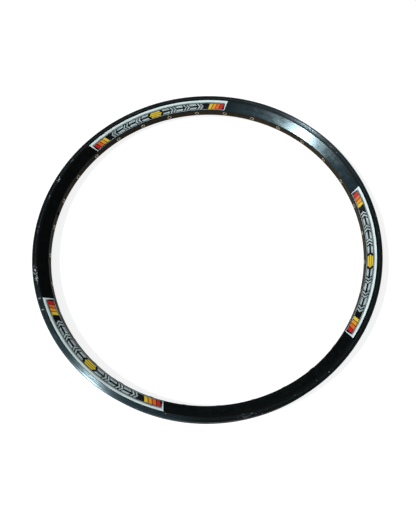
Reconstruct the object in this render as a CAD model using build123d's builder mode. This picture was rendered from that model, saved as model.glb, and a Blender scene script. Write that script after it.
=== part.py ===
from build123d import *
from math import atan, cos, degrees, radians, sin, sqrt
import os

# A bare 26-inch bicycle rim: a hollow double-wall hoop with hooked flanges, drilled for its
# spokes and one valve, with an eyelet round each spoke hole and printed films on one side wall.
# It lies on one flange, with the wheel's axle line along Z and the valve hole at -X.

# Tyre fit, in millimetres
bead_seat_diameter = 559.0
flange_height = 6.25  # flange tip above the bead seat
hook_overhang = 0.9  # how far the flange tip leans in over the bead
well_width = 16.0  # flat floor of the tyre well
well_depth = 1.6  # well floor below the bead seat

# Section
rim_width = 33.0
rim_depth = 24.6  # flange tip to spoke bed
flange_band = 8.4  # flat side band, from the flange tip to the crease
spoke_bed_width = 13.5
flange_wall = 2.0  # at the bead seat
side_wall = 1.3
tyre_bed_wall = 1.2  # under the well floor
spoke_bed_wall = 2.2

# Drilling
spoke_count = 32
spoke_hole_diameter = 5.6
access_hole_diameter = 8.5  # lets a nipple in from the tyre side
valve_hole_diameter = 8.5
valve_angle = 180.0
drilled_sides = 6  # the repeated holes are prisms, which clear a round of the diameter above

# Eyelets
eyelet_lap = 0.9  # flange past the edge of the spoke hole
eyelet_height = 0.7  # flange, from its seat to its mouth
eyelet_bore_diameter = 4.4
eyelet_sides = 8

# Decal films on the upper side wall
film_thickness = 0.15
film_glue = 0.1  # adhesive between the wall and the film
film_margin = 0.9  # bare wall beside the crease and beside the spoke bed
film_span = 55.6  # degrees of the hoop, along the middle of the film
film_slant = 17.0  # degrees that each end flares towards the crease
film_angles = (5.3, 123.2, 241.5)  # middle of each film

# Sizes that follow
half_width = rim_width / 2
half_bed = spoke_bed_width / 2
bead_radius = bead_seat_diameter / 2
flange_radius = bead_radius + flange_height
crease_radius = flange_radius - flange_band
bed_radius = flange_radius - rim_depth
well_radius = bead_radius - well_depth
roof_radius = well_radius - tyre_bed_wall
floor_radius = bed_radius + spoke_bed_wall
chamber_radius = (floor_radius + roof_radius) / 2
flange_inside = half_width - flange_wall
wall_slope = (half_width - half_bed) / (crease_radius - bed_radius)
wall_tilt = atan(wall_slope)
spoke_pitch = 360 / spoke_count
spoke_angles = [valve_angle + (i + 0.5) * spoke_pitch for i in range(spoke_count)]


def outward(angle):
    # unit vector from the axle line towards a point of the hoop
    return Vector(1, 0, 0).rotate(Axis.Z, angle)


def section_plane(angle):
    # radius along x and distance above the middle of the hoop along y
    return Plane(origin=(0, 0, half_width), x_dir=outward(angle), z_dir=outward(angle - 90))


def drill_plane(angle, radius):
    # faces the tyre, square to a spoke
    middle = outward(angle) * radius + Vector(0, 0, half_width)
    return Plane(origin=middle, x_dir=(0, 0, 1), z_dir=outward(angle))


def both_sides(half):
    # a half outline and its mirror image below the middle of the hoop
    return half + [(radius, -height) for radius, height in reversed(half)]


def chamber_half(radius):
    # half the width of the closed chamber, within the side walls and the flanges
    inside_wall = half_bed + (radius - bed_radius) * wall_slope - side_wall / cos(wall_tilt)
    return min(inside_wall, flange_inside)


hoop_half = [
    (bed_radius, half_bed),
    (crease_radius, half_width),
    (flange_radius, half_width),
    (flange_radius, flange_inside - hook_overhang),
    (bead_radius, flange_inside),
    (well_radius, well_width / 2),
]
chamber_half_outline = [(radius, chamber_half(radius)) for radius in (floor_radius, roof_radius)]

# Hoop
with BuildPart() as rim:
    with BuildSketch(section_plane(0)):
        with BuildLine():
            Polyline(both_sides(hoop_half), close=True)
        make_face()
        with BuildLine():
            Polyline(both_sides(chamber_half_outline), close=True)
        make_face(mode=Mode.SUBTRACT)
    revolve(axis=Axis.Z)

    # spoke holes, from the hub side into the chamber
    with BuildSketch(*[drill_plane(angle, bed_radius - spoke_bed_wall) for angle in spoke_angles]):
        RegularPolygon(spoke_hole_diameter / 2, drilled_sides, major_radius=False)
    extrude(amount=chamber_radius - bed_radius, mode=Mode.SUBTRACT)

    # access holes, from the chamber out through the tyre bed
    with BuildSketch(*[drill_plane(angle, chamber_radius) for angle in spoke_angles]):
        RegularPolygon(access_hole_diameter / 2, drilled_sides, major_radius=False)
    extrude(amount=flange_radius - chamber_radius, mode=Mode.SUBTRACT)

    # valve hole, through both beds
    with BuildSketch(drill_plane(valve_angle, bed_radius - spoke_bed_wall)):
        Circle(valve_hole_diameter / 2)
    extrude(amount=rim_depth, mode=Mode.SUBTRACT)
rim.part.label = "rim"

# Eyelets: a low cone on the spoke bed that ends at the mouth of its bore. The seat is flat, and
# its corners touch the curve of the bed.
flange_half = spoke_hole_diameter / 2 + eyelet_lap
flange_corner = flange_half / cos(radians(180 / eyelet_sides))
bore_half = eyelet_bore_diameter / 2
seat_radius = sqrt(bed_radius**2 - flange_corner**2)
cone_taper = degrees(atan((flange_half - bore_half) / eyelet_height))

with BuildPart() as eyelet:
    with BuildSketch():
        RegularPolygon(flange_half, eyelet_sides, major_radius=False)
    extrude(amount=eyelet_height, taper=cone_taper)
    with BuildSketch():
        RegularPolygon(bore_half, eyelet_sides, major_radius=False)
    extrude(amount=eyelet_height, mode=Mode.SUBTRACT)

with BuildPart() as spoke_eyelets:
    with Locations(*[-drill_plane(angle, seat_radius) for angle in spoke_angles]):
        add(eyelet.part)
spoke_eyelets.part.label = "spoke_eyelets"

# Decal films
wall_run = Vector(cos(wall_tilt), sin(wall_tilt))  # up the side wall, from bed to crease
wall_out = Vector(-sin(wall_tilt), cos(wall_tilt))  # square to the side wall, out of the hoop
film_top = Vector(crease_radius, half_width) - wall_run * film_margin + wall_out * film_glue
film_foot = Vector(bed_radius, half_bed) + wall_run * film_margin + wall_out * film_glue
film_middle = (film_top + film_foot) / 2
film_lift = wall_out * film_thickness
film_turn = 2 * film_span  # longer than the film, so that both ends can be trimmed


def film_end(side):
    # the slanted plane that trims one end of a film, facing away from the film
    plane = section_plane(side * film_span / 2)
    along = outward(side * (film_span / 2 + 90))
    up_wall = plane.x_dir * wall_run.X + plane.y_dir * wall_run.Y
    facing = along * cos(radians(film_slant)) - up_wall * sin(radians(film_slant))
    return Plane(origin=plane.from_local_coords(film_middle), z_dir=facing)


with BuildPart() as film:
    with BuildSketch(section_plane(-film_turn / 2)):
        with BuildLine():
            Polyline(film_top, film_foot, film_foot + film_lift, film_top + film_lift, close=True)
        make_face()
    revolve(axis=Axis.Z, revolution_arc=film_turn)
    split(bisect_by=film_end(1), keep=Keep.BOTTOM)
    split(bisect_by=film_end(-1), keep=Keep.BOTTOM)

with BuildPart() as side_decals:
    with Locations(*[Rotation(0, 0, angle) for angle in film_angles]):
        add(film.part)
side_decals.part.label = "side_decals"

os.makedirs("parts", exist_ok=True)
export_step(rim.part, "parts/rim.step")
export_step(spoke_eyelets.part, "parts/spoke_eyelets.step")
export_step(side_decals.part, "parts/side_decals.step")
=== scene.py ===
import math
import bmesh
import bpy
import numpy as np
from mathutils import Matrix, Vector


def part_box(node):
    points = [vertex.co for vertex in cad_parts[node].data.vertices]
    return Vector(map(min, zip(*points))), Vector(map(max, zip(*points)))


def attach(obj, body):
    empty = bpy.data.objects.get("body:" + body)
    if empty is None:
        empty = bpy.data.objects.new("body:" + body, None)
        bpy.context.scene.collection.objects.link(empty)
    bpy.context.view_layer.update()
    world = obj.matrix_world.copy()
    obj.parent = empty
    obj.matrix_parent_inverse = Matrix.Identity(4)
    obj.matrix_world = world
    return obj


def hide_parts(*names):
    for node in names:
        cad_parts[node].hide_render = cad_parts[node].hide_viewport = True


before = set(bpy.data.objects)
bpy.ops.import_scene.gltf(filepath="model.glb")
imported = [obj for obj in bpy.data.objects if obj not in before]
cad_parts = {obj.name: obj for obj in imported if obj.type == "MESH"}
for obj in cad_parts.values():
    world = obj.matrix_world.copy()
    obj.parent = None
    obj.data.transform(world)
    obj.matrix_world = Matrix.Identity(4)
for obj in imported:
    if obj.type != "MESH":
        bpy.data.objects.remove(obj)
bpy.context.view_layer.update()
print("frame loaded:", ", ".join(sorted(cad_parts)))

# the hoop's lengths are in millimetres until a mesh is made, and angles in the dictionaries are in degrees
mm = 0.001
weld = 0.002 * mm  # points of two patches that are closer than this become one
rimLow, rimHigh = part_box("rim")
outerRadius = rimHigh.x / mm
halfWidth = (rimHigh.z - rimLow.z) / 2 / mm
middle = (rimHigh.z + rimLow.z) / 2 / mm

camera = {
    "azimuth": 15.76,
    "elevation": 69.73,
    "roll": -3.03,
    "target": (0.0086, -0.0268, 0.0165),  # in metres, as the distance is
    "distance": 0.8601,
    "lens": 36.09,
    "sensor": 36.0,
    "clipStart": 0.01,
}


def placeCamera():
    # stands back from the target along azimuth and elevation, then rolls about its own line of sight
    lens = bpy.data.cameras.new("photoCamera")
    lens.lens = camera["lens"]
    lens.sensor_width = camera["sensor"]
    lens.clip_start = camera["clipStart"]
    turn = (
        Matrix.Rotation(math.radians(camera["azimuth"]), 4, "Z")
        @ Matrix.Rotation(math.radians(90 - camera["elevation"]), 4, "X")
        @ Matrix.Rotation(math.radians(camera["roll"]), 4, "Z")
    )
    back = Matrix.Translation((0, 0, camera["distance"]))
    stand = bpy.data.objects.new("photoCamera", lens)
    stand.matrix_world = Matrix.Translation(camera["target"]) @ turn @ back
    bpy.context.scene.collection.objects.link(stand)
    bpy.context.scene.camera = stand


placeCamera()
print("camera placed")


# node helpers

def fillInputs(tree, node, inputs):
    # plain values are set on the node's own sockets, and outputs of other nodes are linked to them
    for name, value in inputs.items():
        if isinstance(value, bpy.types.NodeSocket):
            tree.links.new(value, node.inputs[name])
        else:
            node.inputs[name].default_value = value


def addNode(tree, kind, inputs=None, **settings):
    node = tree.nodes.new(kind)
    for name, value in settings.items():
        setattr(node, name, value)
    fillInputs(tree, node, inputs or {})
    return node


def calc(tree, operation, *values):
    return addNode(tree, "ShaderNodeMath", dict(enumerate(values)), operation=operation).outputs[0]


def anyOf(tree, *masks):
    # the highest of several masks
    total = masks[0]
    for mask in masks[1:]:
        total = calc(tree, "MAXIMUM", total, mask)
    return total


def allOf(tree, *masks):
    # the product of several masks, which is 1 only where all are
    total = masks[0]
    for mask in masks[1:]:
        total = calc(tree, "MULTIPLY", total, mask)
    return total


def ramp(tree, value, low, high, first=0.0, last=1.0):
    # first below low, last above high, eased between them
    return addNode(tree, "ShaderNodeMapRange",
                   {"Value": value, "From Min": low, "From Max": high, "To Min": first, "To Max": last},
                   interpolation_type="SMOOTHSTEP").outputs["Result"]


def spread(tree, value, first=0.0, last=1.0):
    # noise seldom leaves the range from 0.3 to 0.7, which is taken to the range from first to last
    return ramp(tree, value, 0.3, 0.7, first, last)


def mixColour(tree, share, below, above):
    return addNode(tree, "ShaderNodeMix", {0: share, 6: below, 7: above}, data_type="RGBA").outputs[2]


def noise(tree, vector, scale, detail=3.0, rough=0.55):
    return addNode(tree, "ShaderNodeTexNoise",
                   {"Vector": vector, "Scale": scale, "Detail": detail, "Roughness": rough}).outputs["Fac"]


def colour(red, green, blue):
    # screen values from 0 to 255, as linear light
    shares = [value / 255 for value in (red, green, blue)]
    return tuple(s / 12.92 if s <= 0.04045 else ((s + 0.055) / 1.055) ** 2.4 for s in shares) + (1.0,)


def newMaterial(name):
    material = bpy.data.materials.new(name)
    material.use_nodes = True
    tree = material.node_tree
    return material, tree, tree.nodes["Principled BSDF"]


def addBump(tree, shader, height, strength, depth):
    bump = addNode(tree, "ShaderNodeBump", {"Height": height, "Strength": strength, "Distance": depth})
    tree.links.new(bump.outputs[0], shader.inputs["Normal"])
    return bump


def hoopPlaces(tree):
    # where a point is on the hoop: angle in radians, radius and height above its middle in millimetres
    point = addNode(tree, "ShaderNodeTexCoord").outputs["Object"]
    x, y, z = addNode(tree, "ShaderNodeSeparateXYZ", {0: point}).outputs
    squared = calc(tree, "MULTIPLY_ADD", x, x, calc(tree, "MULTIPLY", y, y))
    return {
        "point": point,
        "x": x,
        "y": y,
        "angle": calc(tree, "ARCTAN2", y, x),
        "radius": calc(tree, "MULTIPLY", calc(tree, "SQRT", squared), 1 / mm),
        "height": calc(tree, "SUBTRACT", calc(tree, "MULTIPLY", z, 1 / mm), middle),
    }


def turnedStreaks(tree, place, across, along):
    # noise drawn out round the hoop, with so many waves in a millimetre across it and in a metre along it
    stretched = addNode(tree, "ShaderNodeCombineXYZ", {
        0: calc(tree, "MULTIPLY", place["radius"], across),
        1: calc(tree, "MULTIPLY", place["x"], along),
        2: calc(tree, "MULTIPLY_ADD", place["y"], along, calc(tree, "MULTIPLY", place["height"], across)),
    }).outputs[0]
    return noise(tree, stretched, 1.0, rough=0.6)


# wear on the upper side

# a mark is its angle, radius, half length round the hoop, half width across it and brightness
wear = {
    "wallChips": [
        (74.1, 268.6, 1.7, 1.1, 1.0), (76.0, 267.5, 0.7, 0.6, 0.5), (310.8, 276.8, 0.9, 0.6, 0.5),
        (86.0, 264.5, 0.6, 0.4, 0.35), (50.0, 266.0, 1.0, 0.4, 0.4), (47.6, 268.5, 0.8, 0.4, 0.4),
    ],
    "bandChips": [
        (51.7, 279.7, 1.1, 0.9, 0.9), (48.8, 279.1, 1.2, 0.9, 0.9), (213.1, 281.4, 1.2, 3.6, 0.9),
        (217.1, 281.6, 1.2, 3.4, 0.9), (270.7, 279.1, 1.3, 0.8, 0.6), (294.1, 279.2, 1.3, 0.7, 0.55),
        (294.8, 283.9, 1.1, 0.8, 0.7), (296.5, 280.3, 1.2, 0.6, 0.45), (299.6, 285.0, 1.0, 0.7, 0.6),
        (310.8, 279.4, 1.0, 0.6, 0.35), (318.9, 278.6, 1.2, 0.7, 0.45), (323.6, 281.4, 1.8, 1.0, 0.8),
        (325.0, 283.6, 0.7, 0.6, 0.4), (21.4, 283.6, 0.7, 2.0, 0.55), (7.4, 284.8, 0.7, 1.4, 0.5),
        (262.0, 284.7, 0.7, 1.3, 0.6), (88.0, 280.4, 1.4, 0.5, 0.35), (168.7, 279.3, 2.4, 1.0, 0.9),
        (167.6, 280.8, 1.2, 1.2, 0.8), (169.5, 278.8, 1.1, 0.8, 0.7), (203.4, 279.6, 1.6, 1.0, 0.8),
        (205.6, 280.6, 2.0, 0.8, 0.8), (207.2, 279.2, 1.4, 1.2, 0.8), (201.6, 281.4, 1.3, 0.7, 0.6),
        (292.2, 282.8, 0.7, 0.6, 0.5), (297.8, 283.2, 0.7, 0.5, 0.5), (301.4, 281.2, 0.8, 0.5, 0.4),
    ],
    "bandScrapes": [
        (168.4, 279.6, 7.0, 3.0, 0.8), (160.0, 280.0, 5.0, 1.6, 0.25), (204.6, 280.4, 19.0, 4.2, 0.8),
        (176.0, 279.4, 6.0, 1.8, 0.3), (188.0, 280.6, 9.0, 1.6, 0.2), (86.0, 281.0, 16.0, 2.2, 0.1),
        (52.0, 280.4, 12.0, 2.4, 0.14), (295.0, 281.6, 22.0, 3.6, 0.1), (15.0, 282.4, 9.0, 2.0, 0.14),
        (228.0, 281.8, 20.0, 2.6, 0.08), (130.0, 281.6, 20.0, 2.6, 0.08),
    ],
    "chipGrain": 750.0,  # waves of noise in a metre, here and below
    "chipFray": 0.6,  # how much that noise frays the edge of a chip
    "chipLevels": (0.24, 0.92),  # a chip is whole below the first and gone above the second
    "scrapeGrain": 330.0,
    "scrapeThinning": 0.14,  # how soon scratches grow few away from the middle of a scrape
    "scrapeLevels": (0.43, 0.51),
    "lipReach": (0.9, 0.1),  # distances from the outer edge at which bare metal begins and is full
    "lipGrain": 160.0,
    "lipLevels": (0.52, 0.75),
    "lipBright": 0.3,
    "wallSpecks": (1100.0, 0.72, 0.8),  # grain, and the levels of noise at which a speck begins and is full
    "bandSpecks": (1000.0, 0.7, 0.79),
    "speckBright": 0.22,
}


def reachOf(tree, place, angle, radius, halfLength, halfWide):
    # squared distance from the middle of a mark: 1 on the oval of its half length and half width
    turned = calc(tree, "SUBTRACT", place["angle"], math.radians(angle))
    turned = calc(tree, "WRAP", turned, math.pi, -math.pi)
    along = calc(tree, "MULTIPLY", turned, radius / halfLength)
    across = calc(tree, "DIVIDE", calc(tree, "SUBTRACT", place["radius"], radius), halfWide)
    return calc(tree, "MULTIPLY_ADD", along, along, calc(tree, "MULTIPLY", across, across))


def onTop(tree, place, spots):
    # spots on the upper side alone, the brightest where they overlap
    return allOf(tree, anyOf(tree, *spots), ramp(tree, place["height"], 0.0, 1.0))


def chips(tree, place, marks):
    # small ovals whose edges are frayed by noise
    grain = noise(tree, place["point"], wear["chipGrain"], rough=0.65)
    frayed = calc(tree, "MULTIPLY", grain, wear["chipFray"])
    spots = []
    for *oval, bright in marks:
        reach = calc(tree, "ADD", reachOf(tree, place, *oval), frayed)
        spots.append(ramp(tree, reach, *wear["chipLevels"], bright, 0.0))
    return onTop(tree, place, spots)


def scrapes(tree, place, marks):
    # patches of broken scratches: bright where noise is low, and less often so away from the middle
    grain = noise(tree, place["point"], wear["scrapeGrain"], rough=0.65)
    spots = []
    for *oval, bright in marks:
        reach = calc(tree, "MULTIPLY_ADD", reachOf(tree, place, *oval), wear["scrapeThinning"], grain)
        spots.append(ramp(tree, reach, *wear["scrapeLevels"], bright, 0.0))
    return onTop(tree, place, spots)


def specks(tree, place, grain, begins, full):
    # tiny dots where fine noise is high
    dots = noise(tree, place["point"], grain, detail=2.0, rough=0.7)
    return ramp(tree, dots, begins, full, 0.0, wear["speckBright"])


def lipWear(tree, place):
    # patches of bare metal along the outer edge
    begins, full = wear["lipReach"]
    patches = noise(tree, place["point"], wear["lipGrain"], detail=4.0)
    return allOf(tree, ramp(tree, place["radius"], outerRadius - begins, outerRadius - full),
                 ramp(tree, patches, *wear["lipLevels"], 0.0, wear["lipBright"]))


# hoop

hoop = {
    "depth": 24.6,
    "bandWidth": 8.4,
    "bedWidth": 13.5,
    "flangeHeight": 6.25,
    "flangeWall": 2.0,
    "hookOverhang": 0.9,
    "hookDrop": 2.3,  # how far the rounded lip of the hook reaches towards the bead seat
    "wellWidth": 16.0,
    "wellDepth": 1.6,
    "sideWall": 1.3,
    "tyreBedWall": 1.2,
    "spokeBedWall": 2.2,
    "bedRound": 0.7,
    "flatFrom": 0.9,  # distance from a rounded edge at which the wall or the band is shaded flat
    "creaseRound": 0.35,
    "creaseBelow": 2.6,  # line of painted shade along the crease, on the side wall and on the band
    "creaseAbove": 0.2,
    "lipRound": 0.6,
    "hookRound": 0.4,
    "seatRound": 0.7,
    "wellRound": 3.0,
    "arcSteps": 4,
    "bedFlat": 5.2,  # half width of the drilled strip of the spoke bed
    "wellFlat": 6.2,  # and of the tyre bed
    "spokes": 32,
    "spokeHole": 5.6,
    "accessHole": 8.5,
    "valveHole": 8.5,
    "valveAngle": 180.0,
    "holeChamfer": 0.3,
    "columns": 10,  # along each half spoke pitch
    "rows": 6,  # across a drilled strip
    "rings": 4,  # between a hole and the edge of its cell
    "ringSpacing": 1.4,  # above 1, rings lie closer to the hole
    "sharpAngle": 40.0,
}
bedRadius = outerRadius - hoop["depth"]
creaseRadius = outerRadius - hoop["bandWidth"]
beadRadius = outerRadius - hoop["flangeHeight"]
wellRadius = beadRadius - hoop["wellDepth"]
chamberRoof = wellRadius - hoop["tyreBedWall"]
chamberFloor = bedRadius + hoop["spokeBedWall"]
halfBed = hoop["bedWidth"] / 2
flangeInside = halfWidth - hoop["flangeWall"]
wallTilt = math.atan2(halfWidth - halfBed, creaseRadius - bedRadius)
pitch = 2 * math.pi / hoop["spokes"]
halfPitch = pitch / 2
valveTurn = math.radians(hoop["valveAngle"])
spokeTurns = valveTurn + pitch * (np.arange(hoop["spokes"]) + 0.5)
bedZone, wallZone, bandZone, tyreZone, chamberZone, creaseZone = range(6)


def onHoop(angle, radius, height):
    # polar place on the hoop to x, y, z
    places = np.broadcast_arrays(radius * np.cos(angle), radius * np.sin(angle), height + middle)
    return np.stack(places, -1)


def roundedOutline(corners, steps):
    # corners of radius, height, corner radius and zone of the next stretch, to points and a zone a stretch.
    # A rounded corner is an arc that touches both of its stretches: its centre lies on their bisector.
    points, stretches = [], []
    for i, (radius, height, cornerRadius, zone) in enumerate(corners):
        corner = np.array([radius, height])
        if cornerRadius == 0:
            arc = [corner]
        else:
            before = np.array(corners[i - 1][:2]) - corner
            after = np.array(corners[i + 1][:2]) - corner
            before = before / np.linalg.norm(before)
            after = after / np.linalg.norm(after)
            opening = math.acos(np.clip(before @ after, -1, 1))
            bisector = (before + after) / np.linalg.norm(before + after)
            centre = corner + bisector * cornerRadius / math.sin(opening / 2)
            reach = cornerRadius / math.tan(opening / 2)
            first = corner + before * reach - centre
            last = corner + after * reach - centre
            sweep = math.pi - opening
            share = np.linspace(0, 1, steps + 1)[:, None]
            swung = np.sin((1 - share) * sweep) * first + np.sin(share * sweep) * last
            arc = centre + swung / math.sin(sweep)
        points.extend(arc)
        stretches.extend([zone] * len(arc))
    return np.array(points), np.array(stretches[:-1])


def gridQuads(rows, columns, closed):
    # quads of a grid of points, row by row, that may close on itself along its columns
    row = np.arange(rows - 1)[:, None]
    column = np.arange(columns if closed else columns - 1)[None, :]
    following = (column + 1) % columns
    corners = [row * columns + column, row * columns + following,
               (row + 1) * columns + following, (row + 1) * columns + column]
    return np.stack(np.broadcast_arrays(*corners), -1).reshape(-1, 4)


def manyQuads(quads, pointsEach, count):
    # the same quads for each of several equal patches
    return (quads[None] + pointsEach * np.arange(count)[:, None, None]).reshape(-1, 4)


def carriedStrip(outline, stretches):
    # an outline of radius and height, carried round the axle line
    columns = hoop["columns"]
    turns = (np.arange(2 * hoop["spokes"] * columns) - columns / 2) * halfPitch / columns
    points = onHoop(turns[None, :], outline[:, :1], outline[:, 1:])
    zone = np.repeat(stretches, len(turns))
    return points.reshape(-1, 3), gridQuads(len(outline), len(turns), True), zone


def repeatedPatch(turns, angle, radius, height, closed, zone):
    # a grid of places on the hoop, turned to each of several angles
    points = onHoop(turns[:, None, None] + angle, radius, height)
    quads = manyQuads(gridQuads(*angle.shape, closed), angle.size, len(turns))
    return points.reshape(-1, 3), quads, np.full(len(quads), zone)


def cellEdge(halfHigh):
    # points round the edge of one cell, from its lower right corner: angle from the middle, and height
    rows, columns = hoop["rows"], hoop["columns"]
    up = np.linspace(-1, 1, rows + 1)[:-1]
    back = np.linspace(1, -1, columns + 1)[:-1]
    angle = np.concatenate([np.ones(rows), back, -np.ones(rows), -back]) * halfPitch / 2
    height = np.concatenate([up, np.ones(columns), -up, -np.ones(columns)]) * halfHigh
    return angle, height


def holeRing(radius, holeRadius):
    # the hole's round edge, in step with cellEdge: a drilled circle seen from the axle line
    count = 2 * (hoop["rows"] + hoop["columns"])
    swing = 2 * math.pi * (np.arange(count) - hoop["rows"] / 2) / count
    return np.arcsin(holeRadius * np.cos(swing) / radius), holeRadius * np.sin(swing)


def drilledCells(turns, radius, halfHigh, holeRadius, zone):
    # each cell is blended from the round edge of its hole to its own straight edge
    edgeAngle, edgeHeight = cellEdge(halfHigh)
    ringAngle, ringHeight = holeRing(radius, holeRadius)
    share = np.linspace(0, 1, hoop["rings"] + 1)[:, None] ** hoop["ringSpacing"]
    angle = ringAngle * (1 - share) + edgeAngle * share
    height = ringHeight * (1 - share) + edgeHeight * share
    return repeatedPatch(turns, angle, radius, height, True, zone)


def plainCells(turns, radius, halfHigh, zone):
    # cells with no hole: a grid over angle and height
    angle = np.linspace(-1, 1, hoop["columns"] + 1)[None, :] * halfPitch / 2
    height = np.linspace(-1, 1, hoop["rows"] + 1)[:, None] * halfHigh
    angle, height = np.broadcast_arrays(angle, height)
    return repeatedPatch(turns, angle, radius, height, False, zone)


def holeWalls(turns, steps, zone):
    # the wall of each hole, through (radius of the hoop, radius of the hole) from one face to the other
    rings = np.array([holeRing(radius, holeRadius) for radius, holeRadius in steps])
    radius = np.array([step[0] for step in steps])[:, None]
    return repeatedPatch(turns, rings[:, 0], radius, rings[:, 1], True, zone)


def buildMesh(name, patches, materials):
    # every patch's points and quads in one mesh, with a finish for each zone
    starts = np.cumsum([0] + [len(patch[0]) for patch in patches])
    points = np.concatenate([patch[0] for patch in patches]) * mm
    quads = np.concatenate([patch[1] + start for patch, start in zip(patches, starts)])
    zone = np.concatenate([patch[2] for patch in patches]).astype(np.int32)
    mesh = bpy.data.meshes.new(name)
    mesh.from_pydata(points.tolist(), [], quads.tolist())
    for material in materials:
        mesh.materials.append(material)
    mesh.polygons.foreach_set("material_index", zone)
    return mesh


def closeMesh(mesh, sharpAngle):
    # joins patches whose edges meet, and turns the faces outwards
    work = bmesh.new()
    work.from_mesh(mesh)
    bmesh.ops.remove_doubles(work, verts=work.verts, dist=weld)
    bmesh.ops.recalc_face_normals(work, faces=work.faces)
    openEdges = sum(not edge.is_manifold for edge in work.edges)
    work.to_mesh(mesh)
    work.free()
    mesh.shade_smooth()
    mesh.set_sharp_from_angle(angle=math.radians(sharpAngle))
    mesh.calc_loop_triangles()
    print(mesh.name, "triangles:", len(mesh.loop_triangles), "open edges:", openEdges)


def addPiece(name, mesh, node):
    piece = bpy.data.objects.new(name, mesh)
    bpy.context.scene.collection.objects.link(piece)
    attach(piece, "root")
    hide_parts(node)


def hoopPatches():
    # the section outline carried round, with drilled strips along the spoke bed and the tyre bed
    lipInside = flangeInside - hoop["hookOverhang"]
    hookEnd = outerRadius - hoop["hookDrop"]
    alongWall, upWall = math.cos(wallTilt), math.sin(wallTilt)
    flat, creaseShadeReach = hoop["flatFrom"], hoop["creaseBelow"]
    corners = [
        (bedRadius, hoop["bedFlat"], 0, bedZone),
        (bedRadius, halfBed, hoop["bedRound"], wallZone),
        (bedRadius + flat * alongWall, halfBed + flat * upWall, 0, wallZone),
        # from here to the band, a strip of painted shade along the crease
        (creaseRadius - creaseShadeReach * alongWall, halfWidth - creaseShadeReach * upWall, 0, creaseZone),
        (creaseRadius, halfWidth, hoop["creaseRound"], creaseZone),
        (creaseRadius + hoop["creaseAbove"], halfWidth, 0, bandZone),
        (outerRadius - flat, halfWidth, 0, bandZone),
        (outerRadius, halfWidth, hoop["lipRound"], tyreZone),
        (outerRadius, lipInside, hoop["lipRound"], tyreZone),
        (hookEnd, lipInside, hoop["hookRound"], tyreZone),
        (hookEnd - hoop["hookOverhang"], flangeInside, hoop["hookRound"], tyreZone),
        (beadRadius, flangeInside, hoop["seatRound"], tyreZone),
        (wellRadius, hoop["wellWidth"] / 2, hoop["wellRound"], tyreZone),
        (wellRadius, hoop["wellFlat"], 0, tyreZone),
    ]
    outline, stretches = roundedOutline(corners, hoop["arcSteps"])

    # the chamber is the side wall's own thickness in from it, and no wider than the flanges leave
    levelWall = hoop["sideWall"] / math.cos(wallTilt)
    depths = np.array([chamberFloor, chamberRoof]) - bedRadius
    floorHalf, roofHalf = np.minimum(halfBed + depths * math.tan(wallTilt) - levelWall, flangeInside)
    chamberLine = np.array([(chamberFloor, hoop["bedFlat"]), (chamberFloor, floorHalf),
                            (chamberRoof, roofHalf), (chamberRoof, hoop["wellFlat"])])
    chamberStretches = np.full(len(chamberLine) - 1, chamberZone)
    patches = []
    for side in (1, -1):
        patches.append(carriedStrip(outline * (1, side), stretches))
        patches.append(carriedStrip(chamberLine * (1, side), chamberStretches))

    # drilled strips
    valve = np.array([valveTurn])
    plain = valveTurn + pitch * np.arange(1, hoop["spokes"])
    spokeHole, accessHole, valveHole = hoop["spokeHole"] / 2, hoop["accessHole"] / 2, hoop["valveHole"] / 2
    cut = hoop["holeChamfer"]
    strips = [
        (bedRadius, hoop["bedFlat"], bedZone, cut, spokeHole),
        (chamberFloor, hoop["bedFlat"], chamberZone, 0, spokeHole),
        (chamberRoof, hoop["wellFlat"], chamberZone, 0, accessHole),
        (wellRadius, hoop["wellFlat"], tyreZone, cut, accessHole),
    ]
    for radius, halfHigh, zone, widen, hole in strips:
        patches.append(plainCells(plain, radius, halfHigh, zone))
        patches.append(drilledCells(spokeTurns, radius, halfHigh, hole + widen, zone))
        patches.append(drilledCells(valve, radius, halfHigh, valveHole + widen, zone))
    for turns, inner, outer in ((spokeTurns, spokeHole, accessHole), (valve, valveHole, valveHole)):
        bedSteps = [(bedRadius, inner + cut), (bedRadius + cut, inner), (chamberFloor, inner)]
        tyreSteps = [(chamberRoof, outer), (wellRadius - cut, outer), (wellRadius, outer + cut)]
        patches.append(holeWalls(turns, bedSteps, chamberZone))
        patches.append(holeWalls(turns, tyreSteps, tyreZone))
    return patches


# hoop finishes

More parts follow.
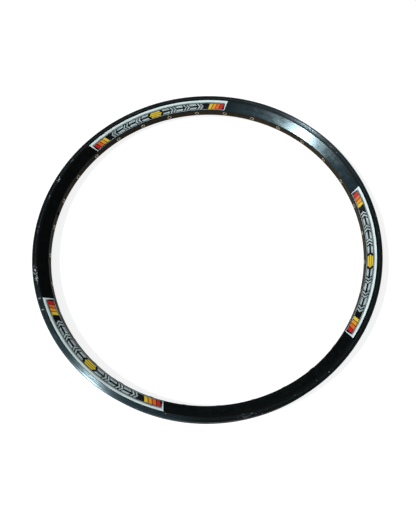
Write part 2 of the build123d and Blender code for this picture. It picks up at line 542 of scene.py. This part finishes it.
finish = {
    "black": colour(8, 9, 8),
    "blackDust": colour(17, 18, 18),
    "bedBrown": colour(70, 59, 44),
    "bedDark": colour(30, 25, 18),
    "tyreGrey": colour(34, 36, 38),
    "tyreDark": colour(18, 19, 20),
    "bareMetal": colour(196, 208, 212),
    "coolGloss": (0.62, 0.88, 1.0, 1.0),
    "wallStreaks": (2.2, 9.0),  # waves in a millimetre across the hoop, and in a metre along it
    "bandStreaks": (2.6, 7.0),
    "bedStreaks": (1.2, 12.0),
    "dullStreaks": (1.6, 6.0),
    "wallCloud": 95.0,  # waves in a metre
    "bandCloud": 60.0,
    "bedCloud": 70.0,
    "dullCloud": 90.0,
    "wallDust": (0.45, 0.75, 0.0, 0.4),  # levels of the cloud between which dust grows, and its shares
    "bandDust": 0.25,  # share of dust in a full streak
    "creaseDust": 0.5,
    "bedDirt": (0.6, 0.7),  # weights of streaks and cloud in the dirt
    "bedLevels": (0.45, 0.9),  # levels of dirt at which the bed is darkest and palest
    "frostCloud": 0.4,  # weight of the cloud beside the streaks
    "frostLevels": (0.68, 0.78),
    "wallRoughness": 0.19,
    "wallUneven": 0.24,  # how much streaks and clouds change that
    "wallShine": 0.34,
    "bandRoughness": (0.28, 0.31),  # on its brighter and on its frosted stretches
    "bandShine": 1.0,
    "creaseRoughness": (0.3, 0.5),
    "creaseShine": 0.08,
    "bedRoughness": (0.55, 0.7),
    "bedShine": 0.05,
    "dullRoughness": (0.4, 0.55),
    "wallBump": (0.05, 0.3 * mm),  # strength and depth of the streaks
    "bedBump": (0.1, 0.4 * mm),
    "dullBump": (0.12, 0.4 * mm),
    "ringFeeds": (2.0, 3.3),  # spacing of the rings that the lathe left on the band
    "ringSlope": 0.34,  # rise over run on the side of a ring
    "ringDrift": 1.5,  # how far the rings wander, in radians of their wave
    "driftCloud": 14.0,
    "ringFilter": 0.004,  # step, in pixels, over which the slope of a ring is taken
}


def glossBlack():
    # dyed and polished side walls
    material, tree, shader = newMaterial("glossBlack")
    place = hoopPlaces(tree)
    streaks = turnedStreaks(tree, place, *finish["wallStreaks"])
    cloud = noise(tree, place["point"], finish["wallCloud"], detail=4.0)
    dust = ramp(tree, cloud, *finish["wallDust"])
    base = mixColour(tree, dust, finish["black"], finish["blackDust"])
    knocks = anyOf(tree, chips(tree, place, wear["wallChips"]), specks(tree, place, *wear["wallSpecks"]))
    uneven = calc(tree, "ADD", streaks, cloud)  # about 1
    fillInputs(tree, shader, {
        "Base Color": mixColour(tree, knocks, base, finish["bareMetal"]),
        "Roughness": calc(tree, "MULTIPLY_ADD", uneven, finish["wallUneven"],
                          finish["wallRoughness"] - finish["wallUneven"]),
        "Specular IOR Level": finish["wallShine"],
        "Specular Tint": finish["coolGloss"],
    })
    addBump(tree, shader, streaks, *finish["wallBump"])
    return material


def turnedRings(tree, place):
    # height of the lathe's rings in millimetres: for each feed, a sine of the radius with the same slope
    cloud = noise(tree, place["point"], finish["driftCloud"], detail=1.0)
    drift = calc(tree, "MULTIPLY", cloud, finish["ringDrift"])
    fromEdge = calc(tree, "SUBTRACT", place["radius"], outerRadius)
    height = 0.0
    for feed in finish["ringFeeds"]:
        phase = calc(tree, "MULTIPLY_ADD", fromEdge, 2 * math.pi / feed, drift)
        depth = finish["ringSlope"] * feed / (2 * math.pi)
        height = calc(tree, "MULTIPLY_ADD", calc(tree, "SINE", phase), depth, height)
    return height


def satinBand():
    # flat side band, with the rings of the lathe round it
    material, tree, shader = newMaterial("satinBand")
    place = hoopPlaces(tree)
    streaks = turnedStreaks(tree, place, *finish["bandStreaks"])
    cloud = noise(tree, place["point"], finish["bandCloud"], detail=4.0)
    dust = calc(tree, "MULTIPLY", streaks, finish["bandDust"])
    base = mixColour(tree, dust, finish["black"], finish["blackDust"])
    knocks = anyOf(tree, chips(tree, place, wear["bandChips"]), scrapes(tree, place, wear["bandScrapes"]),
                   lipWear(tree, place), specks(tree, place, *wear["bandSpecks"]))
    frost = calc(tree, "MULTIPLY_ADD", cloud, finish["frostCloud"], streaks)
    fillInputs(tree, shader, {
        "Base Color": mixColour(tree, knocks, base, finish["bareMetal"]),
        "Roughness": ramp(tree, frost, *finish["frostLevels"], *finish["bandRoughness"]),
        "Specular IOR Level": finish["bandShine"],
        "Specular Tint": finish["coolGloss"],
        "Anisotropic": 1.0,
        "Anisotropic Rotation": 0.25,  # a quarter turn, so that gloss spreads across the rings
        "Tangent": addNode(tree, "ShaderNodeTangent", direction_type="RADIAL", axis="Z").outputs[0],
    })
    bump = addBump(tree, shader, turnedRings(tree, place), 1.0, mm)  # the rings at their full height
    bump.inputs["Filter Width"].default_value = finish["ringFilter"]
    return material


def paintedCreaseShade():
    # narrow dull line of painted shade along the crease: black, with little gloss
    material, tree, shader = newMaterial("paintedCreaseShade")
    place = hoopPlaces(tree)
    streaks = turnedStreaks(tree, place, *finish["wallStreaks"])
    dust = calc(tree, "MULTIPLY", streaks, finish["creaseDust"])
    fillInputs(tree, shader, {
        "Base Color": mixColour(tree, dust, finish["black"], finish["blackDust"]),
        "Roughness": spread(tree, streaks, *finish["creaseRoughness"]),
        "Specular IOR Level": finish["creaseShine"],
    })
    addBump(tree, shader, streaks, *finish["wallBump"])
    return material


def brownBed():
    # spoke bed, with old dirt along it
    material, tree, shader = newMaterial("brownBed")
    place = hoopPlaces(tree)
    streaks = turnedStreaks(tree, place, *finish["bedStreaks"])
    cloud = noise(tree, place["point"], finish["bedCloud"], detail=5.0)
    streakWeight, cloudWeight = finish["bedDirt"]
    dirt = calc(tree, "MULTIPLY_ADD", streaks, streakWeight, calc(tree, "MULTIPLY", cloud, cloudWeight))
    share = ramp(tree, dirt, *finish["bedLevels"])
    fillInputs(tree, shader, {
        "Base Color": mixColour(tree, share, finish["bedDark"], finish["bedBrown"]),
        "Roughness": spread(tree, cloud, *finish["bedRoughness"]),
        "Specular IOR Level": finish["bedShine"],
    })
    addBump(tree, shader, streaks, *finish["bedBump"])
    return material


def dullAlloy(name, pale, dark):
    # unpolished dyed metal, in the tyre bed and the chamber
    material, tree, shader = newMaterial(name)
    place = hoopPlaces(tree)
    streaks = turnedStreaks(tree, place, *finish["dullStreaks"])
    cloud = noise(tree, place["point"], finish["dullCloud"], detail=4.0)
    share = calc(tree, "MULTIPLY", calc(tree, "ADD", streaks, cloud), 0.5)  # their mean
    fillInputs(tree, shader, {
        "Base Color": mixColour(tree, share, dark, pale),
        "Roughness": spread(tree, cloud, *finish["dullRoughness"]),
    })
    addBump(tree, shader, streaks, *finish["dullBump"])
    return material


# in the order of the zones
hoopMaterials = [
    brownBed(),
    glossBlack(),
    satinBand(),
    dullAlloy("tyreBed", finish["tyreGrey"], finish["tyreDark"]),
    dullAlloy("chamberMetal", finish["tyreGrey"], finish["black"]),
    # painted shade along the crease
    paintedCreaseShade(),
]
hoopMesh = buildMesh("hoop", hoopPatches(), hoopMaterials)
closeMesh(hoopMesh, hoop["sharpAngle"])
addPiece("hoop", hoopMesh, "rim")


# spoke eyelets

eyelet = {
    "lap": 1.0,  # flange past the edge of its hole
    "crown": 0.7,  # flange above the spoke bed
    "crownPower": 0.7,  # below 1, the crown is fuller than an ellipse
    "sunk": 0.02,  # edge of the flange, in the spoke bed
    "bore": 4.4,
    "wall": 0.45,
    "neck": 0.08,  # top of the sleeve below the spoke bed
    "tail": 3.1,  # end of the sleeve below the spoke bed
    "curl": 0.6,  # how far the end of the sleeve is rolled out
    "curlHeight": 0.6,  # of the rolled end, as a share of its half width
    "arcPoints": 9,
    "segments": 32,
    "sharpAngle": 50.0,
    "pale": colour(176, 170, 148),
    "dark": colour(118, 110, 90),
    "grime": colour(20, 17, 13),
    "grimeReach": (0.45, 0.15),  # clean this far above the spoke bed, and dark this far below
    "plateCloud": 260.0,
    "grimeCloud": 55.0,
    "cloudWeights": (0.5, 0.6),  # of those two, in the plating's shade
    "shadeLevels": (0.35, 0.75),  # at which the plating is darkest and palest
    "roughness": (0.28, 0.45),
    "bump": (0.08, 0.2 * mm),
}


def eyeletPatch():
    # one closed profile of distance from the spoke's line and height above the bed, spun round that line
    # and set in each spoke hole: arcs for the flange and the rolled end, with the sleeve between them
    bore = eyelet["bore"] / 2
    flangeEdge = hoop["spokeHole"] / 2 + eyelet["lap"]
    sleeve = bore + eyelet["wall"]
    curlEdge = sleeve + eyelet["curl"]
    curlFoot = eyelet["curl"] / 2 - eyelet["tail"]
    swing = np.linspace(0, math.pi, eyelet["arcPoints"])
    crownHalf = (flangeEdge - bore) / 2
    crownRise = eyelet["crown"] * np.sin(swing) ** eyelet["crownPower"] - eyelet["sunk"]
    curlHalf = (curlEdge - bore) / 2
    curlRise = curlFoot - curlHalf * eyelet["curlHeight"] * np.sin(swing)
    profile = np.concatenate([
        np.stack([bore + crownHalf * (1 + np.cos(swing)), crownRise], -1),
        np.stack([bore + curlHalf * (1 - np.cos(swing)), curlRise], -1),
        [(sleeve, curlFoot + eyelet["wall"]), (sleeve, -eyelet["neck"])],
    ])
    ring = np.concatenate([profile, profile[:1]])
    turn = 2 * math.pi * np.arange(eyelet["segments"]) / eyelet["segments"]
    out = bedRadius - ring[:, 1:]
    side = ring[:, :1] * np.cos(turn)
    up = ring[:, :1] * np.sin(turn)
    cosine, sine = np.cos(spokeTurns)[:, None, None], np.sin(spokeTurns)[:, None, None]
    places = np.broadcast_arrays(out * cosine - side * sine, out * sine + side * cosine, up + middle)
    quads = manyQuads(gridQuads(*side.shape, True), side.size, len(spokeTurns))
    return np.stack(places, -1).reshape(-1, 3), quads, np.zeros(len(quads))


def platedMetal():
    # dull plating, darker in its hollows
    material, tree, shader = newMaterial("platedMetal")
    place = hoopPlaces(tree)
    cloud = noise(tree, place["point"], eyelet["plateCloud"], detail=4.0)
    grime = noise(tree, place["point"], eyelet["grimeCloud"])
    cloudWeight, grimeWeight = eyelet["cloudWeights"]
    shade = calc(tree, "MULTIPLY_ADD", cloud, cloudWeight, calc(tree, "MULTIPLY", grime, grimeWeight))
    share = ramp(tree, shade, *eyelet["shadeLevels"])
    plated = mixColour(tree, share, eyelet["dark"], eyelet["pale"])
    above, below = eyelet["grimeReach"]
    deep = ramp(tree, place["radius"], bedRadius - above, bedRadius + below)
    fillInputs(tree, shader, {
        "Base Color": mixColour(tree, deep, plated, eyelet["grime"]),
        "Roughness": spread(tree, cloud, *eyelet["roughness"]),
        "Metallic": 1.0,
    })
    addBump(tree, shader, cloud, *eyelet["bump"])
    return material


eyeletMesh = buildMesh("eyelets", [eyeletPatch()], [platedMetal()])
closeMesh(eyeletMesh, eyelet["sharpAngle"])
addPiece("eyelets", eyeletMesh, "spoke_eyelets")


# decal films

film = {
    "angles": (5.3, 123.2, 241.5),
    "span": 55.6,
    "slant": 17.0,
    "margin": 0.9,
    "glue": 0.02,
    "thickness": 0.2,
    "bevel": 0.1,
    "columns": 160,
    "rows": 8,
    "sharpAngle": 30.0,
    "stripe": (13.4, 17.4),  # thick pale stripe, up the wall from the film's foot
    "pinLine": (12.0, 12.6),  # silver line below it
    "footLine": (0.6, 1.2),
    "endFoot": 0.7,  # pale end, at the foot and at the crease
    "endTop": 3.4,
    "low": 2.0,  # foot and top of the bars, arrows and dashes
    "high": 11.0,
    "inset": 0.25,  # from the start of a pitch to what is printed there
    "point": 0.85,  # how far a pointed end falls back, for each millimetre off the middle of its row
    # places along the film are counted from its middle, to both sides
    "dashes": {"half": 11.5, "pitch": 3.1, "fill": 2.3},
    "arrows": {"start": 16.0, "pitch": 25.2, "count": 3, "rails": 12.6, "railPitch": 5.9, "railFill": 2.9,
               "chevrons": ((15.2, 18.0), (20.6, 23.4))},
    "warmBars": {"start": 97.0, "pitch": 6.6, "fill": 5.4, "lean": 0.42},
    "softEdge": 0.12,
    "white": colour(230, 245, 245),
    "silver": colour(188, 203, 206),
    "silverDark": colour(146, 160, 164),
    "field": colour(15, 17, 19),
    "red": colour(196, 36, 32),
    "orange": colour(218, 104, 42),
    "amber": colour(226, 150, 50),
    "yellow": colour(224, 192, 62),
    "silverCloud": 75.0,
    "fadeCloud": 40.0,
    "fadeLevels": (0.3, 0.65, 0.3, 1.0),  # levels of the cloud between which the fade grows, and its shares
    "fadeMost": 0.7,
    "nickGrain": 620.0,
    "nickLevels": (0.7, 0.76),  # levels of noise at which a nick begins and is full
    "nickDark": 0.8,
    "glossCloud": 50.0,
    "roughness": (0.2, 0.32),
    "shine": 0.3,
    "rippleGrain": 300.0,
    "rippleBump": (0.05, 0.2 * mm),
}
filmWidth = math.hypot(creaseRadius - bedRadius, halfWidth - halfBed) - 2 * film["margin"]
filmMiddleRadius = (bedRadius + creaseRadius) / 2
filmLength = math.radians(film["span"]) * filmMiddleRadius
endSlope = math.tan(math.radians(film["slant"]))


def filmPatches():
    # a thin closed profile up the side wall, carried round the hoop between two slanted ends, then capped
    up = np.linspace(0, filmWidth, film["rows"] + 1)
    bottom = np.stack([up, np.full(len(up), film["glue"])], -1)
    upTop = np.clip(up[::-1], film["bevel"], filmWidth - film["bevel"])
    top = np.stack([upTop, np.full(len(up), film["glue"] + film["thickness"])], -1)
    profile = np.concatenate([bottom, top, bottom[:1]])
    climb = profile[:, :1] + film["margin"]
    off = profile[:, 1:]
    radius = bedRadius + climb * math.cos(wallTilt) - off * math.sin(wallTilt)
    height = halfBed + climb * math.sin(wallTilt) + off * math.cos(wallTilt)
    halfAlong = filmLength / 2 + endSlope * (profile[:, :1] - filmWidth / 2)
    angle = np.linspace(-1, 1, film["columns"] + 1) * halfAlong / filmMiddleRadius
    turns = np.radians(film["angles"])
    points, quads, zone = repeatedPatch(turns, angle, radius, height, False, 0)

    # end caps join each point of the foot-to-crease run to the one above it
    lower = np.arange(film["rows"])
    upper = 2 * film["rows"] + 1 - lower
    capCorners = np.stack([lower, lower + 1, upper - 1, upper], -1) * (film["columns"] + 1)
    caps = np.concatenate([capCorners, capCorners + film["columns"]])
    caps = manyQuads(caps, angle.size, len(turns))
    return [(points, quads, zone), (points, caps, np.zeros(len(caps)))]


def unrollFilms(mesh):
    # the UV map is the film laid flat: length along, foot to crease up, each from 0 to 1
    count = len(mesh.vertices)
    places = np.empty(count * 3)
    mesh.vertices.foreach_get("co", places)
    x, y, z = places.reshape(-1, 3).T / mm
    turned = np.arctan2(y, x)[:, None] - np.radians(film["angles"])[None, :]
    turned = (turned + math.pi) % (2 * math.pi) - math.pi
    own = np.abs(turned).argmin(1)
    along = turned[np.arange(count), own] * filmMiddleRadius
    outFromBed = np.hypot(x, y) - bedRadius
    upFromBed = z - middle - halfBed
    climb = outFromBed * math.cos(wallTilt) + upFromBed * math.sin(wallTilt) - film["margin"]
    flat = np.stack([along / filmLength + 0.5, climb / filmWidth], -1)
    corners = np.empty(len(mesh.loops), np.int32)
    mesh.loops.foreach_get("vertex_index", corners)
    layer = mesh.uv_layers.new(name="laidFlat")
    layer.data.foreach_set("uv", flat[corners].astype(np.float32).ravel())


def inside(tree, value, low, high):
    # 1 between low and high, with a soft edge
    soft = film["softEdge"]
    return allOf(tree, ramp(tree, value, low - soft, low + soft),
                 ramp(tree, value, high - soft, high + soft, 1.0, 0.0))


def repeated(tree, value, pitch, fill):
    # 1 on the filled part of each pitch
    return inside(tree, calc(tree, "FLOORED_MODULO", value, pitch), film["inset"], film["inset"] + fill)


def filmPlaces(tree):
    # where a point is on the film laid flat, in millimetres: up from its foot, and away from its middle
    laidFlat = addNode(tree, "ShaderNodeUVMap", uv_map="laidFlat").outputs[0]
    flat = addNode(tree, "ShaderNodeSeparateXYZ", {0: laidFlat}).outputs
    up = calc(tree, "MULTIPLY", flat[1], filmWidth)
    away = calc(tree, "MULTIPLY", calc(tree, "ABSOLUTE", calc(tree, "SUBTRACT", flat[0], 0.5)), filmLength)
    off = calc(tree, "ABSOLUTE", calc(tree, "SUBTRACT", up, (film["low"] + film["high"]) / 2))
    return {
        "up": up,
        "away": away,
        "pointed": calc(tree, "MULTIPLY_ADD", off, film["point"], away),
        "fromLow": calc(tree, "SUBTRACT", up, film["low"]),
        "inRow": inside(tree, up, film["low"], film["high"]),
    }


def warmBars(tree, place):
    # leaning bars near the ends, one in each warm colour: where they are, and their colour
    bars = film["warmBars"]
    warm = [film["yellow"], film["amber"], film["orange"], film["red"]]
    length = bars["pitch"] * len(warm)
    leaned = calc(tree, "MULTIPLY_ADD", place["up"], -bars["lean"], place["away"])
    leaned = calc(tree, "SUBTRACT", leaned, bars["start"])
    mask = allOf(tree, place["inRow"], inside(tree, leaned, 0.0, length),
                 repeated(tree, leaned, bars["pitch"], bars["fill"]))
    steps = addNode(tree, "ShaderNodeValToRGB", {0: calc(tree, "DIVIDE", leaned, length)})
    steps.color_ramp.interpolation = "CONSTANT"
    stops = steps.color_ramp.elements
    while len(stops) < len(warm):
        stops.new(1.0)
    for i, tint in enumerate(warm):
        stops[i].position = i / len(warm)
        stops[i].color = tint
    return mask, steps.outputs[0]


def silverArrows(tree, place):
    # rails with pointed ends, then chevrons
    arrows = film["arrows"]
    outward = calc(tree, "SUBTRACT", place["pointed"], arrows["start"])
    within = calc(tree, "FLOORED_MODULO", outward, arrows["pitch"])
    rails = allOf(tree, inside(tree, within, film["inset"], arrows["rails"]),
                  repeated(tree, place["fromLow"], arrows["railPitch"], arrows["railFill"]))
    chevrons = [inside(tree, within, first, last) for first, last in arrows["chevrons"]]
    return allOf(tree, anyOf(tree, rails, *chevrons), place["inRow"],
                 inside(tree, outward, 0.0, arrows["pitch"] * arrows["count"]))


def yellowDashes(tree, place):
    # level dashes across the middle, pointed like the arrows
    dashes = film["dashes"]
    soft = film["softEdge"]
    return allOf(tree, place["inRow"], repeated(tree, place["fromLow"], dashes["pitch"], dashes["fill"]),
                 ramp(tree, place["pointed"], dashes["half"] - soft, dashes["half"] + soft, 1.0, 0.0))


def paleEdges(tree, place):
    # stripe along the crease, and ends that widen towards it
    fromMiddle = calc(tree, "SUBTRACT", place["up"], filmWidth / 2)
    reach = calc(tree, "MULTIPLY_ADD", fromMiddle, -endSlope, place["away"])
    reach = calc(tree, "MULTIPLY_ADD", place["up"], (film["endTop"] - film["endFoot"]) / filmWidth, reach)
    edge = filmLength / 2 - film["endFoot"]
    soft = film["softEdge"]
    ends = ramp(tree, reach, edge - soft, edge + soft)
    return anyOf(tree, ends, inside(tree, place["up"], *film["stripe"]))


def printedFilm():
    # plain stripes, dashes, arrows and leaning bars, drawn in millimetres on the film laid flat
    material, tree, shader = newMaterial("printedFilm")
    place = filmPlaces(tree)
    point = addNode(tree, "ShaderNodeTexCoord").outputs["Object"]
    silverPrint = anyOf(tree, silverArrows(tree, place), inside(tree, place["up"], *film["footLine"]),
                        inside(tree, place["up"], *film["pinLine"]))
    sheen = spread(tree, noise(tree, point, film["silverCloud"], detail=4.0))
    shade = mixColour(tree, silverPrint, film["field"],
                      mixColour(tree, sheen, film["silverDark"], film["silver"]))
    barMask, barColour = warmBars(tree, place)
    shade = mixColour(tree, barMask, shade, barColour)
    shade = mixColour(tree, yellowDashes(tree, place), shade, film["yellow"])

    # the stripe fades to silver, unevenly, towards its lower edge
    uneven = ramp(tree, noise(tree, point, film["fadeCloud"]), *film["fadeLevels"])
    fade = allOf(tree, ramp(tree, place["up"], *film["stripe"], film["fadeMost"], 0.0), uneven)
    white = mixColour(tree, fade, film["white"], film["silver"])
    shade = mixColour(tree, paleEdges(tree, place), shade, white)

    # nicks that show the dark wall through the film
    grain = noise(tree, point, film["nickGrain"], rough=0.7)
    nicks = ramp(tree, grain, *film["nickLevels"], 0.0, film["nickDark"])
    fillInputs(tree, shader, {
        "Base Color": mixColour(tree, nicks, shade, film["field"]),
        "Roughness": spread(tree, noise(tree, point, film["glossCloud"]), *film["roughness"]),
        "Specular IOR Level": film["shine"],
    })
    addBump(tree, shader, noise(tree, point, film["rippleGrain"]), *film["rippleBump"])
    return material


filmMesh = buildMesh("decals", filmPatches(), [printedFilm()])
closeMesh(filmMesh, film["sharpAngle"])
unrollFilms(filmMesh)
addPiece("decals", filmMesh, "side_decals")


# floor and light, in metres

studio = {
    "floorRadius": 4.5,
    "floorFlat": 1.5,
    "floorHub": 0.02,
    "floorDrop": 0.0002,  # below the hoop, so that they don't share a plane
    "floorSides": 96,
    "coveHeight": 1.1,
    "coveRound": 1.0,
    "coveSteps": 12,
    "floorColour": (0.24, 0.24, 0.24, 1.0),
    "floorCloud": 6.0,
    "floorRoughness": (0.85, 0.95),
    "white": (1.0, 1.0, 1.0, 1.0),
    "glow": 0.87,  # what the floor adds where it is looked at
    "keyFrom": (-0.42, -0.31, 0.854),
    "keyDistance": 4.0,
    "keySize": 0.26,
    "keyPower": 150.0,
    "keyTint": (1.0, 0.985, 0.955),
    "panelDistance": 4.4,  # broad dim panel behind the key, for a soft sheen round its highlight
    "panelSize": 4.0,
    "panelPower": 42.0,
    "panelTint": (0.56, 0.86, 1.0),
    "sky": (0.032, 0.037, 0.039, 1.0),
    "horizon": (0.285, 0.33),  # sine of the height at which the pale backdrop fades into the dark sky
}


def looked(tree):
    # 1 for the eye, for gloss and through glass, and 0 for light that falls on the object
    light = addNode(tree, "ShaderNodeLightPath").outputs
    return anyOf(tree, light["Is Camera Ray"], light["Is Glossy Ray"], light["Is Transmission Ray"])


def paleFloor():
    # keeps shadows, and reads as white to the eye, to gloss and through glass
    material, tree, shader = newMaterial("paleFloor")
    point = addNode(tree, "ShaderNodeTexCoord").outputs["Object"]
    fillInputs(tree, shader, {
        "Base Color": studio["floorColour"],
        "Roughness": spread(tree, noise(tree, point, studio["floorCloud"]), *studio["floorRoughness"]),
        "Emission Color": studio["white"],
        "Emission Strength": calc(tree, "MULTIPLY", looked(tree), studio["glow"]),
    })
    return material


def layFloor():
    # a flat disc that bends up into a low round wall: one outline spun about the vertical
    bend = np.linspace(0, math.pi / 2, studio["coveSteps"] + 1)
    cove = studio["coveRound"]
    outline = np.concatenate([
        [(studio["floorHub"], 0.0), (studio["floorFlat"], 0.0)],
        np.stack([studio["floorRadius"] - cove * (1 - np.sin(bend)), cove * (1 - np.cos(bend))], -1),
        [(studio["floorRadius"], studio["coveHeight"])],
    ])
    sides = studio["floorSides"]
    turn = 2 * math.pi * np.arange(sides)[None, :] / sides
    away, height = outline[:, :1], outline[:, 1:] - studio["floorDrop"]
    places = np.broadcast_arrays(away * np.cos(turn), away * np.sin(turn), height)
    quads = gridQuads(len(outline), sides, True).tolist()
    hub = list(range(sides))[::-1]
    mesh = bpy.data.meshes.new("floor")
    mesh.from_pydata(np.stack(places, -1).reshape(-1, 3).tolist(), [], quads + [hub])
    work = bmesh.new()
    work.from_mesh(mesh)
    bmesh.ops.recalc_face_normals(work, faces=work.faces)
    work.to_mesh(mesh)
    work.free()
    mesh.shade_smooth()
    mesh.materials.append(paleFloor())
    floor = bpy.data.objects.new("floor", mesh)
    bpy.context.scene.collection.objects.link(floor)


def addLamp(name):
    # a round lamp in the key's direction, turned towards the hoop
    lamp = bpy.data.lights.new(name, "AREA")
    lamp.shape = "DISK"
    lamp.size = studio[name + "Size"]
    lamp.energy = studio[name + "Power"]
    lamp.color = studio[name + "Tint"]
    stand = bpy.data.objects.new(name, lamp)
    direction = np.array(studio["keyFrom"]) / np.linalg.norm(studio["keyFrom"])
    stand.location = direction * studio[name + "Distance"]
    stand.rotation_mode = "QUATERNION"
    stand.rotation_quaternion = stand.location.to_track_quat("Z", "Y")
    bpy.context.scene.collection.objects.link(stand)


def lightStudio():
    # two lamps, and a dim sky whose lower part is white where it is looked at
    addLamp("key")
    addLamp("panel")
    world = bpy.data.worlds.new("studioSky")
    bpy.context.scene.world = world
    world.use_nodes = True
    tree = world.node_tree
    direction = addNode(tree, "ShaderNodeTexCoord").outputs["Generated"]
    high = addNode(tree, "ShaderNodeSeparateXYZ", {0: direction}).outputs[2]
    paleShare = allOf(tree, looked(tree), ramp(tree, high, *studio["horizon"], 1.0, 0.0))
    sky = mixColour(tree, paleShare, studio["sky"], studio["white"])
    tree.links.new(sky, tree.nodes["Background"].inputs["Color"])


layFloor()
lightStudio()
bpy.context.scene.view_settings.view_transform = "Standard"
print("floor and light set")
